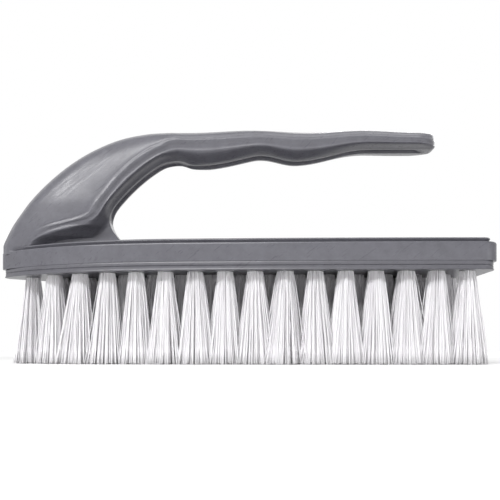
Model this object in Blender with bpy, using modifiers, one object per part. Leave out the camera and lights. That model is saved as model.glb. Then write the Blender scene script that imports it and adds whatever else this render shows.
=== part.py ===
"""Scrub brush with an open, iron-style handle.

A grey handle moulding carries a tufted block in its skirt. Staggered rows of white bristle tufts pass
through round holes in the block. +X runs to the rear, the brush stands on its bristle tips at Z = 0,
and the handle is rooted at the nose, at -X. Lengths are in metres.
"""

import math
from collections import namedtuple

import bmesh
import bpy
from mathutils import Matrix, Vector

MM = 0.001

# Plan outline of the moulding
LENGTH = 180.0 * MM
WIDTH = 60.0 * MM
NOSE_RADIUS = 3.6 * MM
NOSE_HALF_ANGLE = math.radians(40.0)
NOSE_LENGTH = 68.0 * MM
NOSE_TAPER = 3.4 * MM
NOSE_TIP_PULL = 16.0 * MM
NOSE_SHOULDER_PULL = 34.0 * MM
REAR_CORNER_RADIUS = 5.0 * MM

# Heights, from the bristle tips upward
BRISTLE_TRIM = 32.5 * MM
RIM_HEIGHT = 2.8 * MM
SKIRT_HEIGHT = 6.5 * MM
DECK_RISE = 1.7 * MM
DECK_THICKNESS = 2.4 * MM

# Skirt, deck and block
DECK_INSET = 2.1 * MM
RIM_INSET = 0.7 * MM
SKIRT_WALL = 2.0 * MM
EDGE_RADIUS = 0.6 * MM
FIT_GAP = 0.3 * MM
PEG_RADIUS = 1.6 * MM
PEG_DEPTH = 4.0 * MM
PEG_FROM_TUFT = 7.0 * MM
PEG_EVERY_ROWS = 5
PEG_SIDES = 12
RIM_EDGE_RADIUS = 0.5 * MM
CUT_PAST = 1.0 * MM

# Tufts
FIRST_ROW = 12.0 * MM
ROW_SPACING = 10.56 * MM
REAR_MARGIN = 9.0 * MM
TUFT_EDGE = 6.2 * MM
LEAST_TUFT_OFFSET = 7.5 * MM
STRANDS_ROUND_TUFT = 5
STRAND_RADIUS = 0.68 * MM
STRAND_RING = 1.35 * MM
TIP_RING = 4.3 * MM
STRAND_GAP = 0.3 * MM
BACKING_HEIGHT = 3.0 * MM
STRAND_SINK = 1.0 * MM
HOLE_SIDES = 8
GOLDEN_ANGLE = math.radians(137.508)

# Handle: places along X from the nose tip, heights from the deck
HANDLE_REACH = 165.0 * MM
GRIP_START = 68.0 * MM
GRIP_TOP = 43.7 * MM
TOP_WAVE = 0.4 * MM
TOP_WAVE_PITCH = 41.0 * MM
TOP_WAVE_START = 75.0 * MM
GRIP_UNDERSIDE = 36.85 * MM
UNDERSIDE_LEVEL_FROM = 143.0 * MM
UNDERSIDE_CURVE = 0.8
FIRST_BULGE = 79.5 * MM
FIRST_BULGE_DEPTH = 2.5 * MM
SECOND_BULGE = 112.5 * MM
SECOND_BULGE_DEPTH = 3.4 * MM
BULGE_RUN_IN = 17.0 * MM
BULGE_RUN_OUT = 23.0 * MM
GRIP_LEAN = 4.5 * MM
GRIP_LEAN_REACH = 30.0 * MM

# Handle: its cross-section; corners are shares of the section's depth and half width
GRIP_HALF_WIDTH = 9.8 * MM
GRIP_TAPER = 0.6 * MM
GRIP_CROWN = (0.14, 0.70)
GRIP_CREASE = (0.46, 1.0)
GRIP_SECOND_LINE = (0.83, 0.78)
CROWN_FLAT = 0.42
CROWN_ROUNDING = 6.0 * MM
CREASE_ROUNDING = 1.6 * MM
RIM_ROUNDING = 0.6 * MM
RIM_FLARE = 1.05
WEB_HALF_WIDTH = 4.4 * MM
CHANNEL_SHARE = 0.76
CHANNEL_TAPER = 0.8
CHANNEL_DEPTH = 0.9 * MM
CHANNEL_END = 4.0 * MM
TIP_ROUNDING = 9.0 * MM
TIP_TOP_RADIUS = 2.0 * MM
TIP_BOTTOM_RADIUS = 3.4 * MM
TIP_WEB_SHARE = 0.55
TIP_STATIONS = 8
GRIP_STATION_SPACING = 4.0 * MM
HEEL_STEPS = 3

# Levels that follow from the heights
RIM_TOP = BRISTLE_TRIM + RIM_HEIGHT
SKIRT_BOTTOM = RIM_TOP + FIT_GAP
SKIRT_TOP = SKIRT_BOTTOM + SKIRT_HEIGHT
DECK_TOP = SKIRT_TOP + DECK_RISE
CEILING = DECK_TOP - DECK_THICKNESS
BLOCK_TOP = CEILING - FIT_GAP
BACKING_BOTTOM = BLOCK_TOP - BACKING_HEIGHT
NOSE_X = -LENGTH / 2
REAR_X = LENGTH / 2


def clear_scene():
    for obj in list(bpy.data.objects):
        bpy.data.objects.remove(obj, do_unlink=True)


def new_collection(name):
    collection = bpy.data.collections.new(name)
    bpy.context.scene.collection.children.link(collection)
    return collection


def new_material(name, colour, roughness):
    material = bpy.data.materials.new(name)
    material.use_nodes = True
    shader = material.node_tree.nodes["Principled BSDF"]
    shader.inputs["Base Color"].default_value = (*colour, 1.0)
    shader.inputs["Roughness"].default_value = roughness
    shader.inputs["Metallic"].default_value = 0.0
    material.diffuse_color = (*colour, 1.0)
    return material


def add_object(name, bm, collection, material=None, sharp_angle=math.radians(35.0)):
    """Makes an object of the bmesh and shades it smooth, apart from its sharp edges."""
    bmesh.ops.recalc_face_normals(bm, faces=bm.faces[:])
    mesh = bpy.data.meshes.new(name)
    bm.to_mesh(mesh)
    bm.free()
    mesh.shade_smooth()
    mesh.set_sharp_from_angle(angle=sharp_angle)
    obj = bpy.data.objects.new(name, mesh)
    collection.objects.link(obj)
    if material:
        mesh.materials.append(material)
    return obj


def as_cutter(obj):
    obj.hide_render = True
    obj.display_type = "WIRE"
    return obj


def boolean(obj, operation, other):
    modifier = obj.modifiers.new(f"{operation.title()} {other.name}", "BOOLEAN")
    modifier.operation = operation
    modifier.solver = "EXACT"
    modifier.object = other


# Plan outline

def bezier(p0, p1, p2, p3, t):
    s = 1.0 - t
    return p0 * s**3 + p1 * 3 * s * s * t + p2 * 3 * s * t * t + p3 * t**3


def arc(centre, radius, start, end, steps):
    """Points on an arc; the angles are in degrees."""
    points = []
    for i in range(steps + 1):
        angle = math.radians(start + (end - start) * i / steps)
        points.append(centre + Vector((math.cos(angle), math.sin(angle))) * radius)
    return points


def half_outline():
    """The +Y half of the plan outline, from the nose tip to the middle of the rear end."""
    half_width = WIDTH / 2
    turn = 90.0 + math.degrees(NOSE_HALF_ANGLE)
    points = arc(Vector((NOSE_X + NOSE_RADIUS, 0.0)), NOSE_RADIUS, 180.0, turn, 4)
    leave = points[-1]
    shoulder = Vector((NOSE_X + NOSE_LENGTH, half_width - NOSE_TAPER))
    corner = Vector((REAR_X - REAR_CORNER_RADIUS, half_width))
    side = corner - shoulder
    along_nose = Vector((math.cos(NOSE_HALF_ANGLE), math.sin(NOSE_HALF_ANGLE)))
    flank = (side + Vector((0.0, side.y))).normalized()
    for i in range(1, 10):
        points.append(bezier(leave, leave + along_nose * NOSE_TIP_PULL,
                             shoulder - flank * NOSE_SHOULDER_PULL, shoulder, i / 9))
    for i in range(1, 6):
        points.append(bezier(shoulder, shoulder + flank * side.x / 3,
                             corner - Vector((side.x / 3, 0.0)), corner, i / 6))
    points += arc(corner - Vector((0.0, REAR_CORNER_RADIUS)), REAR_CORNER_RADIUS, 90.0, 0.0, 5)
    return points


def outline():
    """The closed plan outline, clockwise from the nose tip as seen from above."""
    half = half_outline()
    mirrored = [Vector((p.x, -p.y)) for p in half[1:]]
    return half + mirrored[::-1]


def half_width_at(x):
    """Half of the outline's width at x."""
    half = half_outline()
    for a, b in zip(half, half[1:]):
        if a.x <= x <= b.x:
            return a.y + (b.y - a.y) * (x - a.x) / (b.x - a.x)
    return 0.0


def inset_outline(inset):
    """The outline moved inward by inset, along its own normals."""
    points = outline()
    moved = []
    for i, point in enumerate(points):
        before = points[i - 1]
        after = points[(i + 1) % len(points)]
        first = (point - before).normalized()
        second = (after - point).normalized()
        normal = Vector((first.y + second.y, -first.x - second.x)).normalized()
        stretch = 1.0 / max(normal.dot(Vector((first.y, -first.x))), 0.5)
        moved.append(point + normal * inset * stretch)
    return moved


def outline_face(bm, inset, z):
    """A flat face of the inset outline, facing down."""
    return bm.faces.new([bm.verts.new((p.x, p.y, z)) for p in inset_outline(inset)])


def raise_face(bm, face, height, keep_face=True):
    """Extrudes a face straight up and returns the new top face."""
    extruded = bmesh.ops.extrude_face_region(bm, geom=[face], use_keep_orig=True)["geom"]
    bmesh.ops.translate(bm, vec=(0.0, 0.0, height),
                        verts=[item for item in extruded if isinstance(item, bmesh.types.BMVert)])
    if not keep_face:
        bmesh.ops.delete(bm, geom=[face], context="FACES_ONLY")
    return next(item for item in extruded if isinstance(item, bmesh.types.BMFace))


def stepped_slab(inset, bottom, step_height, step_inset, top):
    """A slab on the plan outline, narrower by step_inset above step_height."""
    bm = bmesh.new()
    shelf = raise_face(bm, outline_face(bm, inset, bottom), step_height - bottom)
    bmesh.ops.inset_region(bm, faces=[shelf], thickness=step_inset, use_even_offset=True)
    raise_face(bm, shelf, top - step_height, keep_face=False)
    return bm


def round_edges(obj, radius, segments):
    bevel = obj.modifiers.new("Rounded edges", "BEVEL")
    bevel.width = radius
    bevel.segments = segments
    bevel.limit_method = "ANGLE"
    bevel.angle_limit = math.radians(50.0)
    return bevel


# Handle
# A station is one flat cross-section, seen in the side view as a chord from an outer to an inner point.
# crown, crease and second are corners of its half profile: (share of the chord, share of the half width).

Station = namedtuple("Station", "outer inner width crown crease second web channel")


def under_line(x):
    """Height of the grip's underside over the deck, at x behind the nose: hollows and finger bulges."""
    z = GRIP_UNDERSIDE
    if x < UNDERSIDE_LEVEL_FROM:
        z -= UNDERSIDE_CURVE * (UNDERSIDE_LEVEL_FROM - x) ** 2
    for middle, depth in ((FIRST_BULGE, FIRST_BULGE_DEPTH), (SECOND_BULGE, SECOND_BULGE_DEPTH)):
        run = BULGE_RUN_IN if x < middle else BULGE_RUN_OUT
        z -= depth * (0.5 + 0.5 * math.cos(math.pi * min(abs(x - middle) / run, 1.0)))
    return z


def top_line(x):
    """Height of the grip's top over the deck, at x behind the nose."""
    return GRIP_TOP - TOP_WAVE * math.cos(2 * math.pi * (x - TOP_WAVE_START) / TOP_WAVE_PITCH)


def heel_stations():
    """The heel, from inside the deck up to where the grip starts; places in mm from the nose tip and deck."""
    table = (
        # outer x, z   inner x, z   half width  crown         crease        second        web  channel
        ((0.6, -2.8), (52.0, -2.8), 7.6, (0.06, 0.52), (0.24, 1.0), (0.33, 0.84), 6.2, 0.0),
        ((0.8, 1.0), (47.6, 0.8), 8.0, (0.06, 0.52), (0.26, 1.0), (0.36, 0.66), 5.2, 0.0),
        ((2.2, 3.6), (45.3, 3.2), 8.7, (0.06, 0.52), (0.33, 1.0), (0.43, 0.56), 4.8, 0.0),
        ((4.9, 8.1), (42.7, 6.8), 9.3, (0.07, 0.52), (0.50, 1.0), (0.60, 0.54), 4.6, 0.0),
        ((8.2, 12.9), (41.8, 10.6), 9.8, (0.08, 0.54), (0.74, 1.0), (0.84, 0.62), 4.5, 0.3),
        ((12.2, 18.1), (43.3, 14.8), 10.1, (0.09, 0.56), (0.76, 1.0), (0.89, 0.72), 4.4, 0.9),
        ((18.3, 24.4), (46.8, 19.2), 10.2, (0.10, 0.58), (0.76, 1.0), (0.89, 0.76), 4.4, 0.9),
        ((26.2, 30.9), (51.9, 24.3), 10.2, (0.11, 0.60), (0.74, 1.0), (0.89, 0.78), 4.4, 0.9),
        ((35.2, 36.4), (57.4, 28.8), 10.1, (0.12, 0.62), (0.69, 1.0), (0.88, 0.78), 4.4, 0.9),
        ((45.4, 40.6), (62.4, 31.6), 10.0, (0.13, 0.64), (0.61, 1.0), (0.86, 0.78), 4.4, 0.9),
        ((55.4, 42.6), (68.0, 32.4), 9.9, (0.14, 0.67), (0.53, 1.0), (0.84, 0.78), 4.4, 0.9),
    )
    stations = []
    for outer, inner, width, crown, crease, second, web, channel in table:
        stations.append(Station(Vector(outer) * MM, Vector(inner) * MM, width * MM,
                                Vector(crown), Vector(crease), Vector(second), web * MM, channel * MM))
    return stations


def smooth_between(stations, steps):
    """Stations on smooth curves through the given ones, steps to a gap."""
    def spline(a, b, c, d, t):
        return 0.5 * (b * 2 + (c - a) * t + (a * 2 - b * 5 + c * 4 - d) * t * t
                      + (b * 3 - a - c * 3 + d) * t**3)
    result = []
    last = len(stations) - 1
    for i in range(last):
        a, b, c, d = (stations[max(i - 1, 0)], stations[i], stations[i + 1], stations[min(i + 2, last)])
        for k in range(steps):
            result.append(Station(*(spline(*values, k / steps) for values in zip(a, b, c, d))))
    result.append(stations[-1])
    return result


def grip_station(x):
    """The cross-section of the grip at x behind the nose; it leans forward where the heel ends."""
    lean = GRIP_LEAN * max(0.0, 1.0 - (x - GRIP_START) / GRIP_LEAN_REACH)
    end = HANDLE_REACH - x
    plan = math.sqrt(max(0.0, 1.0 - max(0.0, 1.0 - end / TIP_ROUNDING) ** 2))
    top = top_line(x - lean) - (TIP_TOP_RADIUS - quarter_round(TIP_TOP_RADIUS, end))
    bottom = under_line(x + lean) + (TIP_BOTTOM_RADIUS - quarter_round(TIP_BOTTOM_RADIUS, end))
    taper = max(0.0, (x - GRIP_START) / (HANDLE_REACH - GRIP_START))
    width = (GRIP_HALF_WIDTH - GRIP_TAPER * taper) * plan
    channel = CHANNEL_DEPTH * min(1.0, max(0.0, (end - CHANNEL_END) / CHANNEL_END))
    web = min(WEB_HALF_WIDTH, TIP_WEB_SHARE * width)
    return Station(Vector((x - lean, top)), Vector((x + lean, bottom)), width, Vector(GRIP_CROWN),
                   Vector(GRIP_CREASE), Vector(GRIP_SECOND_LINE), web, channel)


def quarter_round(radius, end):
    """How far a rounded corner has risen at the distance end from where it starts."""
    run = min(end, radius)
    return math.sqrt(max(0.0, radius**2 - (radius - run) ** 2))


def rounded(before, corner, after, reach, steps):
    """Points that round off a corner, within reach of it and half of each side."""
    back = before - corner
    ahead = after - corner
    start = corner + back * min(reach / back.length, 0.48)
    end = corner + ahead * min(reach / ahead.length, 0.48)
    points = []
    for i in range(steps + 1):
        t = i / steps
        points.append(start * (1 - t) ** 2 + corner * 2 * t * (1 - t) + end * t * t)
    return points


def section_points(station):
    """One closed ring of points on a station."""
    chord = station.inner - station.outer
    depth = chord.length
    channel_edge = station.web * CHANNEL_SHARE
    corners = [
        Vector((0.0, 0.0)),
        Vector((station.crown.x * depth, station.crown.y * station.width)),
        Vector((station.crease.x * depth, station.width)),
        Vector((station.second.x * depth, max(station.second.y * station.width, station.web * RIM_FLARE))),
        Vector((depth, station.web)),
        Vector((depth, channel_edge)),
        Vector((depth - station.channel, channel_edge * CHANNEL_TAPER)),
        Vector((depth - station.channel, 0.0)),
    ]
    half = [corners[0], Vector((0.0, corners[1].y * CROWN_FLAT))]
    half += rounded(half[1], corners[1], corners[2], CROWN_ROUNDING, 4)
    half += rounded(corners[1], corners[2], corners[3], CREASE_ROUNDING, 2)
    half += rounded(corners[2], corners[3], corners[4], CREASE_ROUNDING, 2)
    half += rounded(corners[3], corners[4], corners[5], RIM_ROUNDING, 2)
    half += corners[5:]
    ring = half + [Vector((p.x, -p.y)) for p in half[-2:0:-1]]
    along = chord.normalized()
    points = []
    for p in ring:
        side = station.outer + along * p.x
        points.append(Vector((NOSE_X + side.x, p.y, DECK_TOP + side.y)))
    return points


def handle_mesh():
    """The heel and the grip, lofted through their cross-sections."""
    first_grip = [grip_station(GRIP_START + GRIP_STATION_SPACING * i) for i in range(3)]
    stations = smooth_between(heel_stations() + first_grip, HEEL_STEPS)
    x = GRIP_START + GRIP_STATION_SPACING * 3
    while x < HANDLE_REACH - TIP_ROUNDING:
        stations.append(grip_station(x))
        x += GRIP_STATION_SPACING
    for i in range(TIP_STATIONS):
        angle = math.pi / 2 * i / TIP_STATIONS
        stations.append(grip_station(HANDLE_REACH - TIP_ROUNDING * (1.0 - math.sin(angle))))
    bm = bmesh.new()
    rings = [[bm.verts.new(p) for p in section_points(station)] for station in stations]
    for ring, next_ring in zip(rings, rings[1:]):
        for i in range(len(ring)):
            j = (i + 1) % len(ring)
            bm.faces.new((ring[i], ring[j], next_ring[j], next_ring[i]))
    bm.faces.new(rings[0][::-1])
    bm.faces.new(rings[-1])
    return bm


def build_handle_moulding(rows, collection, cutters, material):
    slab = stepped_slab(0.0, SKIRT_BOTTOM, SKIRT_TOP, DECK_INSET, DECK_TOP)
    moulding = add_object("handle_moulding", slab, collection, material)
    round_edges(moulding, EDGE_RADIUS, 2)

    handle = as_cutter(add_object("handle_loft", handle_mesh(), cutters))
    boolean(moulding, "UNION", handle)

    hollow = bmesh.new()
    raise_face(hollow, outline_face(hollow, SKIRT_WALL, SKIRT_BOTTOM - SKIRT_WALL),
               CEILING - SKIRT_BOTTOM + SKIRT_WALL)
    boolean(moulding, "DIFFERENCE", as_cutter(add_object("skirt_hollow", hollow, cutters)))

    pegs = bmesh.new()
    add_pegs(pegs, rows, PEG_RADIUS, CEILING - PEG_DEPTH, CEILING + DECK_THICKNESS / 2)
    boolean(moulding, "UNION", as_cutter(add_object("locating_pegs", pegs, cutters)))
    return moulding


def add_cylinder(bm, radius, x, y, bottom, top, sides):
    added = bmesh.ops.create_cone(bm, cap_ends=True, segments=sides, radius1=radius, radius2=radius,
                                  depth=top - bottom)["verts"]
    bmesh.ops.translate(bm, vec=(x, y, (top + bottom) / 2), verts=added)


def add_box(bm, x, length, width, bottom, top):
    """A box across the middle of the block, length along Y and width along X."""
    added = bmesh.ops.create_cube(bm, size=1.0)["verts"]
    bmesh.ops.scale(bm, vec=(width, length, top - bottom), verts=added)
    bmesh.ops.translate(bm, vec=(x, 0.0, (top + bottom) / 2), verts=added)


def add_pegs(bm, rows, radius, bottom, top):
    """Round pegs in pairs, outside the two tufts of every few staggered rows."""
    staggered = [row for row in rows if len(row[1]) == 2]
    for x, places in staggered[1::PEG_EVERY_ROWS]:
        for side in (-1, 1):
            add_cylinder(bm, radius, x, side * (places[-1] + PEG_FROM_TUFT), bottom, top, PEG_SIDES)


# Tufts

def tuft_rows():
    """Each row's x and its tufts' y: three across, and two between them half a spacing further on."""
    rows = []
    x = NOSE_X + FIRST_ROW
    staggered = False
    while x <= REAR_X - REAR_MARGIN:
        reach = half_width_at(x - STRAND_RING - STRAND_RADIUS) - TUFT_EDGE
        if staggered:
            places = [-reach / 2, reach / 2]
        else:
            places = [-reach, 0.0, reach]
        if places[-1] >= LEAST_TUFT_OFFSET:
            rows.append((x, places))
        elif not staggered:
            rows.append((x, [0.0]))
        x += ROW_SPACING / 2
        staggered = not staggered
    return rows


def tip_ring(x, y, rows):
    """How far a tuft's strands spread at the tips, short of those of the nearest tuft."""
    gaps = [math.hypot(other_x - x, other_y - y)
            for other_x, places in rows for other_y in places if (other_x, other_y) != (x, y)]
    return min(TIP_RING, min(gaps) / 2 - STRAND_RADIUS - STRAND_GAP)


def hole_radius():
    """A tuft hole clears the strands where they leave the block."""
    spread = TIP_RING + (STRAND_RING - TIP_RING) * BRISTLE_TRIM / BACKING_BOTTOM
    return (spread + STRAND_RADIUS + FIT_GAP) / math.cos(math.pi / HOLE_SIDES)


def add_strand(bm, x, y, direction, root_spread, tip_spread):
    """One three-sided strand from inside the backing down to its flat tip at Z = 0."""
    top = BACKING_BOTTOM + STRAND_SINK
    added = bmesh.ops.create_cone(bm, cap_ends=True, segments=3, radius1=STRAND_RADIUS,
                                  radius2=STRAND_RADIUS, depth=top)["verts"]
    turn = Matrix.Rotation(math.atan2(direction.y, direction.x), 3, "Z")
    bmesh.ops.rotate(bm, cent=(0.0, 0.0, 0.0), matrix=turn, verts=added)
    top_spread = tip_spread + (root_spread - tip_spread) * top / BACKING_BOTTOM
    for vert in added:
        at_top = vert.co.z > 0.0
        spread = top_spread if at_top else tip_spread
        vert.co.z = top if at_top else 0.0
        vert.co.x += x + direction.x * spread
        vert.co.y += y + direction.y * spread


def build_tuft_row(index, x, places, rows, collection, cutters, material):
    """One row of tufts, fused to the slice of backing that carries it."""
    length = places[-1] - places[0] + 2 * (STRAND_RING + STRAND_RADIUS)
    backing = bmesh.new()
    add_box(backing, x, length, 2 * (STRAND_RING + STRAND_RADIUS), BACKING_BOTTOM, BLOCK_TOP)
    row = add_object(f"tuft_row_{index:02d}", backing, collection, material)

    strands = bmesh.new()
    for number, y in enumerate(places):
        start = (index * 5 + number) * GOLDEN_ANGLE
        spread = tip_ring(x, y, rows)
        add_strand(strands, x, y, Vector((math.cos(start), math.sin(start))), 0.0, 0.0)
        for k in range(STRANDS_ROUND_TUFT):
            angle = start + 2 * math.pi * k / STRANDS_ROUND_TUFT
            add_strand(strands, x, y, Vector((math.cos(angle), math.sin(angle))), STRAND_RING, spread)
    boolean(row, "UNION", as_cutter(add_object(f"strands_{index:02d}", strands, cutters)))
    return row


def build_bristle_block(rows, collection, cutters, material):
    slab = stepped_slab(RIM_INSET, BRISTLE_TRIM, RIM_TOP, SKIRT_WALL + FIT_GAP - RIM_INSET, BLOCK_TOP)
    block = add_object("bristle_block", slab, collection, material)
    round_edges(block, RIM_EDGE_RADIUS, 2)

    slots = bmesh.new()
    holes = bmesh.new()
    for x, places in rows:
        length = places[-1] - places[0] + 2 * (STRAND_RING + STRAND_RADIUS + FIT_GAP)
        width = 2 * (STRAND_RING + STRAND_RADIUS + FIT_GAP)
        add_box(slots, x, length, width, BACKING_BOTTOM - FIT_GAP, BLOCK_TOP + CUT_PAST)
        for y in places:
            add_cylinder(holes, hole_radius(), x, y, BRISTLE_TRIM - CUT_PAST,
                         BACKING_BOTTOM - FIT_GAP + CUT_PAST, HOLE_SIDES)
    boolean(block, "DIFFERENCE", as_cutter(add_object("backing_slots", slots, cutters)))
    boolean(block, "DIFFERENCE", as_cutter(add_object("tuft_holes", holes, cutters)))

    sockets = bmesh.new()
    add_pegs(sockets, rows, PEG_RADIUS + FIT_GAP, CEILING - PEG_DEPTH - FIT_GAP, BLOCK_TOP + CUT_PAST)
    boolean(block, "DIFFERENCE", as_cutter(add_object("peg_sockets", sockets, cutters)))
    return block


def main():
    clear_scene()
    brush = new_collection("Scrub brush")
    cutters = new_collection("Cutters")
    grey = new_material("Grey plastic", (0.178, 0.178, 0.205), 0.45)
    block_grey = new_material("Grey block plastic", (0.155, 0.155, 0.172), 0.5)
    white = new_material("White filament", (0.83, 0.82, 0.84), 0.4)
    rows = tuft_rows()
    build_handle_moulding(rows, brush, cutters, grey)
    build_bristle_block(rows, brush, cutters, block_grey)
    for index, (x, places) in enumerate(rows, start=1):
        build_tuft_row(index, x, places, rows, brush, cutters, white)
    tufts = sum(len(places) for x, places in rows)
    print("rows", len(rows), "tufts", tufts, "strands", tufts * (STRANDS_ROUND_TUFT + 1))


main()
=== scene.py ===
"""Looks of the scrub brush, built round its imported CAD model.

The grey moulding and the block are finer models of the CAD solids, on the same outline and levels, with
rounded edges. Thin filaments by the thousand stand for the CAD strands. Lengths are in metres.
"""

import math
from collections import namedtuple

import bmesh
import bpy
import numpy as np
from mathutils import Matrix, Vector


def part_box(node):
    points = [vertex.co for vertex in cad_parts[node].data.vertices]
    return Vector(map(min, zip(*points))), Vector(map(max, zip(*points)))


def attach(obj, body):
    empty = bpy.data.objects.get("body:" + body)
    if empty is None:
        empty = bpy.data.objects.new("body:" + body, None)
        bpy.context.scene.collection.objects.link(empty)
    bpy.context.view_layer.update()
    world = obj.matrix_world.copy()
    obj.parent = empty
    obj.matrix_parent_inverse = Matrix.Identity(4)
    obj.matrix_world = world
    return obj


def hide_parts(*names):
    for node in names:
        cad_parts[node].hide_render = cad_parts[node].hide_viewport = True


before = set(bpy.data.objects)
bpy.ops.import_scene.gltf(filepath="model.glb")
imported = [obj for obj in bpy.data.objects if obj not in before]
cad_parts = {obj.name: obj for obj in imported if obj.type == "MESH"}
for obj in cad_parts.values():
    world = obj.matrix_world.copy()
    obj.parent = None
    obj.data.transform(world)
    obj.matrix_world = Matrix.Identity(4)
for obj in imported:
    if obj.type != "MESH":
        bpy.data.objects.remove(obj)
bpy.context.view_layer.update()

MM = 0.001
BODY = "root"

# The frame
MOULDING_LOW, MOULDING_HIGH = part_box("handle_moulding")
BLOCK_LOW, BLOCK_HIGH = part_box("bristle_block")
TUFT_ROWS = sorted(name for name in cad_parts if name.startswith("tuft_row_"))
NOSE_X = MOULDING_LOW.x
REAR_X = MOULDING_HIGH.x
HALF_WIDTH = MOULDING_HIGH.y
BLOCK_BOTTOM = BLOCK_LOW.z
BLOCK_TOP = BLOCK_HIGH.z

# Plan outline
NOSE_SETBACK = 0.5 * MM
NOSE_TIP = NOSE_X + NOSE_SETBACK
NOSE_RADIUS = 3.6 * MM
NOSE_HALF_ANGLE = math.radians(40.0)
NOSE_LENGTH = 68.0 * MM
NOSE_TAPER = 3.4 * MM
NOSE_TIP_PULL = 16.0 * MM
NOSE_SHOULDER_PULL = 34.0 * MM
REAR_CORNER_RADIUS = 5.0 * MM
NOSE_TIP_STEPS = 10
NOSE_STEPS = 32
FLANK_STEPS = 20
REAR_CORNER_STEPS = 12
LEAST_MITRE = 0.5

# Levels and edges of the skirt, the deck and the block. A bevel catches the light as a thin line; its angle is
# in degrees from upright.
RIM_HEIGHT = 3.05 * MM
SEAM = 0.05 * MM
RIM_TOP = BLOCK_BOTTOM + RIM_HEIGHT
FIT_GAP = 0.3 * MM
SKIRT_BOTTOM = RIM_TOP + SEAM
SKIRT_HEIGHT = 6.5 * MM
SKIRT_TOP = SKIRT_BOTTOM + SKIRT_HEIGHT
DECK_RISE = 1.7 * MM
DECK_TOP = SKIRT_TOP + DECK_RISE
DECK_INSET = 2.1 * MM
DECK_FOOT_INSET = 2.65 * MM
RIM_INSET = -0.2 * MM
RIM_GROOVE = 1.6 * MM
RIM_GROOVE_SIZE = 0.22 * MM
END_SETBACK = 1.3 * MM
END_RUN = 16.0 * MM
SKIRT_WALL = 2.0 * MM
HOLLOW_OVERSHOOT = 1.0 * MM
CEILING = BLOCK_TOP + FIT_GAP
LIP_RADIUS = 0.1 * MM
BEVEL_HEIGHT = 0.42 * MM
BEVEL_INSET = 0.22 * MM
BEVEL_ANGLE = 28.0
BEVEL_EDGE_RADIUS = 0.2 * MM
DECK_EDGE_RADIUS = 0.5 * MM
FILLET_RADIUS = 0.3 * MM
EDGE_STEPS = 4

# Handle: places along X from the nose, heights from the deck, and the underside's curve per metre
HANDLE_REACH = 165.0 * MM
GRIP_START = 68.0 * MM
GRIP_TOP = 43.7 * MM
TOP_WAVE = 0.4 * MM
TOP_WAVE_PITCH = 41.0 * MM
TOP_WAVE_START = 75.0 * MM
TOP_EASE = 0.7 * MM
TOP_EASE_FROM = 63.5 * MM
TOP_EASE_RUN = 20.0 * MM
GRIP_UNDERSIDE = 37.1 * MM
UNDERSIDE_LEVEL_FROM = 143.0 * MM
UNDERSIDE_CURVE = 0.86
FIRST_BULGE = 79.5 * MM
FIRST_BULGE_DEPTH = 2.5 * MM
SECOND_BULGE = 113.0 * MM
SECOND_BULGE_DEPTH = 3.75 * MM
BULGE_RUN_IN = 17.5 * MM
BULGE_RUN_OUT = 26.5 * MM
GRIP_LEAN = 4.5 * MM
GRIP_LEAN_REACH = 30.0 * MM

# Handle: its cross-section. Each line on the grip's side lies this far down plus a share of the depth, and
# inset this far from the side; the under line's inset follows the web instead.
GRIP_HALF_WIDTH = 9.8 * MM
GRIP_TAPER = 0.6 * MM
GRIP_SHOULDER = 0.62
GRIP_SHOULDER_RUN = 5.5 * MM
GRIP_FLARE = (1.6 * MM, 0.2, 0.05 * MM)
GRIP_CREASE = (2.5 * MM, 0.19, -0.12 * MM)
GRIP_GROOVE = (2.2 * MM, 0.42, 0.48 * MM)
GRIP_ROLL = (1.9 * MM, 0.62, 0.12 * MM)
GRIP_UNDER = (-0.3 * MM, 1.0)
GRIP_UNDER_STEP = 1.8 * MM
FULL_DEPTH = 6.5 * MM
CROWN_DEPTH = 2.6 * MM
CROWN_SHARE = 0.16
CROWN_REACH = 7.0 * MM
CROWN_REACH_SHARE = 0.4
CROWN_FLAT = 0.42
SIDE_STEPS = 8
WEB_HALF_WIDTH = 3.7 * MM
WEB_SPREAD = -0.8 * MM
CHANNEL_SHARE = 0.76
CHANNEL_TAPER = 0.8
CHANNEL_DEPTH = 0.9 * MM
CHANNEL_END = 4.0 * MM
TIP_ROUNDING = 9.0 * MM
TIP_EDGE_RADIUS = 2.0 * MM
TIP_WEB_SHARE = 0.64
TIP_STATIONS = 16
HEEL_STEPS = 12
LINE_STEPS = 6
STATION_SPACING = 4.0 * MM
JOIN_STATIONS = 3
GRIP_STEPS = 4

# Where the heel's lines turn into the grip's
BLEND_FROM = 60.0 * MM
BLEND_TO = 76.0 * MM

# How the lines are rounded off: reach, steps and, where it isn't the usual one, the share of the next side
SIDE_SHARE = 0.48
CROWN_ROUNDING = (4.0 * MM, 8)
FLARE_ROUNDING = (1.5 * MM, 4)
CREASE_ROUNDING = (1.4 * MM, 6)
GROOVE_ROUNDING = (1.6 * MM, 4)
ROLL_ROUNDING = (3.2 * MM, 8, 0.7)
UNDER_ROUNDING = (1.2 * MM, 3)
RIM_ROUNDING = (0.5 * MM, 4)

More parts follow.
